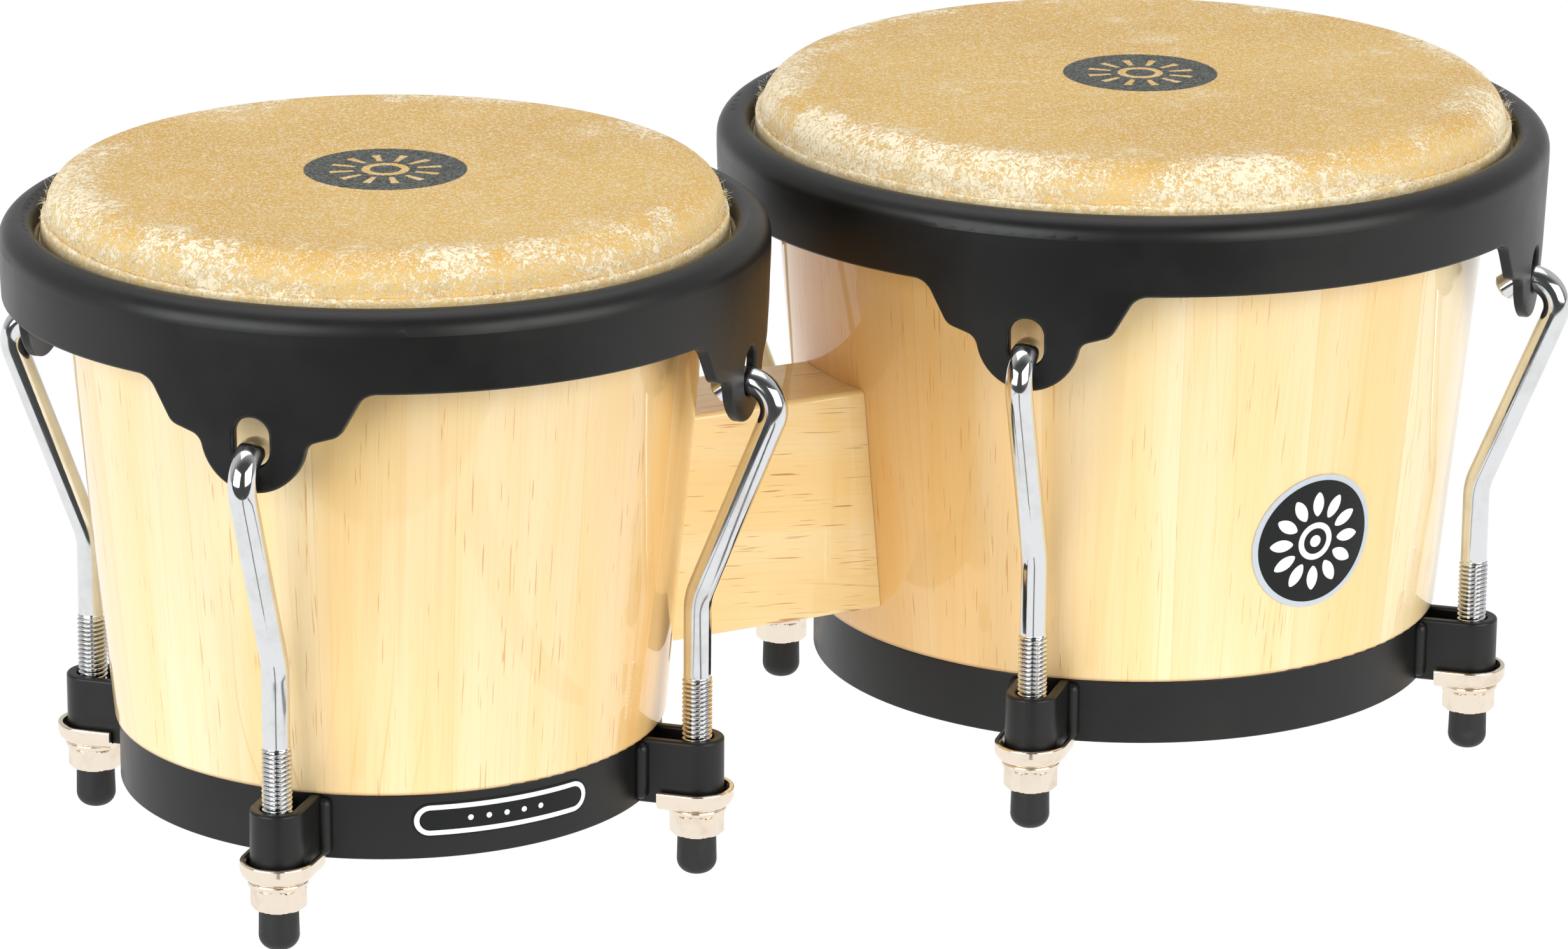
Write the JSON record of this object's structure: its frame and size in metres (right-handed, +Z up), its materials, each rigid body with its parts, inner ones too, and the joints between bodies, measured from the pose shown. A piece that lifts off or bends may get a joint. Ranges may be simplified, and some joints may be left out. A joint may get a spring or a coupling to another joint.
{
  "type": "bongo drums",
  "caption": "Pair of tuned hand drums, small and large, on one wooden centre block, with hide heads, steel rims and hook-and-nut tuning.",
  "frame": {"origin": "on the floor, under the middle of the bounding box", "axes": "+X from the small drum to the large drum, +Y to the back, +Z up along the drum axes"},
  "size_m": [0.4444, 0.2306, 0.1858],
  "materials": {
    "shell_wood": "gloss lacquer",
    "block_wood": "gloss lacquer",
    "skin": "raw hide",
    "black_steel": "satin",
    "chrome": "polished",
    "nickel": "satin",
    "steel": "satin",
    "rubber": "matte",
    "badge": "satin",
    "label": "satin"
  },
  "bodies": {
    "shells": {"center_block": "block_wood", "block_bolts": "steel", "block_nuts": "steel", "block_washers": "steel", "hembra_badge": "badge", "macho_ring_label": "label", "macho_shell": "shell_wood", "macho_head_skin": "skin", "macho_bottom_ring": "black_steel", "macho_ring_brackets": "black_steel", "macho_foot_washers": "nickel", "macho_front_left_saddle_plate": "nickel", "macho_front_right_saddle_plate": "nickel", "macho_back_right_saddle_plate": "nickel", "macho_back_left_saddle_plate": "nickel", "hembra_shell": "shell_wood", "hembra_head_skin": "skin", "hembra_bottom_ring": "black_steel", "hembra_ring_brackets": "black_steel", "hembra_foot_washers": "nickel", "hembra_front_left_saddle_plate": "nickel", "hembra_front_right_saddle_plate": "nickel", "hembra_back_right_saddle_plate": "nickel", "hembra_back_left_saddle_plate": "nickel"},
    "macho_front_left_nut": {"macho_front_left_nut": "nickel"},
    "macho_front_right_nut": {"macho_front_right_nut": "nickel"},
    "macho_back_right_nut": {"macho_back_right_nut": "nickel"},
    "macho_back_left_nut": {"macho_back_left_nut": "nickel"},
    "macho_crown": {"macho_tension_rim": "black_steel", "macho_flesh_hoop": "steel", "macho_front_left_hook": "chrome", "macho_front_left_foot_cap": "rubber", "macho_front_right_hook": "chrome", "macho_front_right_foot_cap": "rubber", "macho_back_right_hook": "chrome", "macho_back_right_foot_cap": "rubber", "macho_back_left_hook": "chrome", "macho_back_left_foot_cap": "rubber"},
    "hembra_front_left_nut": {"hembra_front_left_nut": "nickel"},
    "hembra_front_right_nut": {"hembra_front_right_nut": "nickel"},
    "hembra_back_right_nut": {"hembra_back_right_nut": "nickel"},
    "hembra_back_left_nut": {"hembra_back_left_nut": "nickel"},
    "hembra_crown": {"hembra_tension_rim": "black_steel", "hembra_flesh_hoop": "steel", "hembra_front_left_hook": "chrome", "hembra_front_left_foot_cap": "rubber", "hembra_front_right_hook": "chrome", "hembra_front_right_foot_cap": "rubber", "hembra_back_right_hook": "chrome", "hembra_back_right_foot_cap": "rubber", "hembra_back_left_hook": "chrome", "hembra_back_left_foot_cap": "rubber"}
  },
  "joints": [
    {"name": "macho_tuning", "type": "slide", "parent": "shells", "child": "macho_crown", "axis": [0, 0, -1], "range_m": [0, 0.004], "deforming": ["macho_head_skin"]},
    {"name": "macho_front_left_nut_turn", "type": "hinge", "parent": "shells", "child": "macho_front_left_nut", "pos_m": [-0.18192, -0.06067, 0.0144], "axis": [0, 0, 1], "range_deg": [0, 1152.1]},
    {"name": "macho_front_right_nut_turn", "type": "hinge", "parent": "shells", "child": "macho_front_right_nut", "pos_m": [-0.06058, -0.06067, 0.0144], "axis": [0, 0, 1], "range_deg": [0, 1152.1]},
    {"name": "macho_back_right_nut_turn", "type": "hinge", "parent": "shells", "child": "macho_back_right_nut", "pos_m": [-0.06058, 0.06067, 0.0144], "axis": [0, 0, 1], "range_deg": [0, 1152.1]},
    {"name": "macho_back_left_nut_turn", "type": "hinge", "parent": "shells", "child": "macho_back_left_nut", "pos_m": [-0.18192, 0.06067, 0.0144], "axis": [0, 0, 1], "range_deg": [0, 1152.1]},
    {"name": "hembra_tuning", "type": "slide", "parent": "shells", "child": "hembra_crown", "axis": [0, 0, -1], "range_m": [0, 0.004], "deforming": ["hembra_head_skin"]},
    {"name": "hembra_front_left_nut_turn", "type": "hinge", "parent": "shells", "child": "hembra_front_left_nut", "pos_m": [0.03589, -0.07106, 0.0144], "axis": [0, 0, 1], "range_deg": [0, 1152.1]},
    {"name": "hembra_front_right_nut_turn", "type": "hinge", "parent": "shells", "child": "hembra_front_right_nut", "pos_m": [0.17801, -0.07106, 0.0144], "axis": [0, 0, 1], "range_deg": [0, 1152.1]},
    {"name": "hembra_back_right_nut_turn", "type": "hinge", "parent": "shells", "child": "hembra_back_right_nut", "pos_m": [0.17801, 0.07106, 0.0144], "axis": [0, 0, 1], "range_deg": [0, 1152.1]},
    {"name": "hembra_back_left_nut_turn", "type": "hinge", "parent": "shells", "child": "hembra_back_left_nut", "pos_m": [0.03589, 0.07106, 0.0144], "axis": [0, 0, 1], "range_deg": [0, 1152.1]}
  ],
  "couplings": [
    {"joint": "macho_front_left_nut_turn", "follows": "macho_tuning", "rad_per_m": 5026.5},
    {"joint": "macho_front_right_nut_turn", "follows": "macho_tuning", "rad_per_m": 5026.5},
    {"joint": "macho_back_right_nut_turn", "follows": "macho_tuning", "rad_per_m": 5026.5},
    {"joint": "macho_back_left_nut_turn", "follows": "macho_tuning", "rad_per_m": 5026.5},
    {"joint": "hembra_front_left_nut_turn", "follows": "hembra_tuning", "rad_per_m": 5026.5},
    {"joint": "hembra_front_right_nut_turn", "follows": "hembra_tuning", "rad_per_m": 5026.5},
    {"joint": "hembra_back_right_nut_turn", "follows": "hembra_tuning", "rad_per_m": 5026.5},
    {"joint": "hembra_back_left_nut_turn", "follows": "hembra_tuning", "rad_per_m": 5026.5}
  ]
}
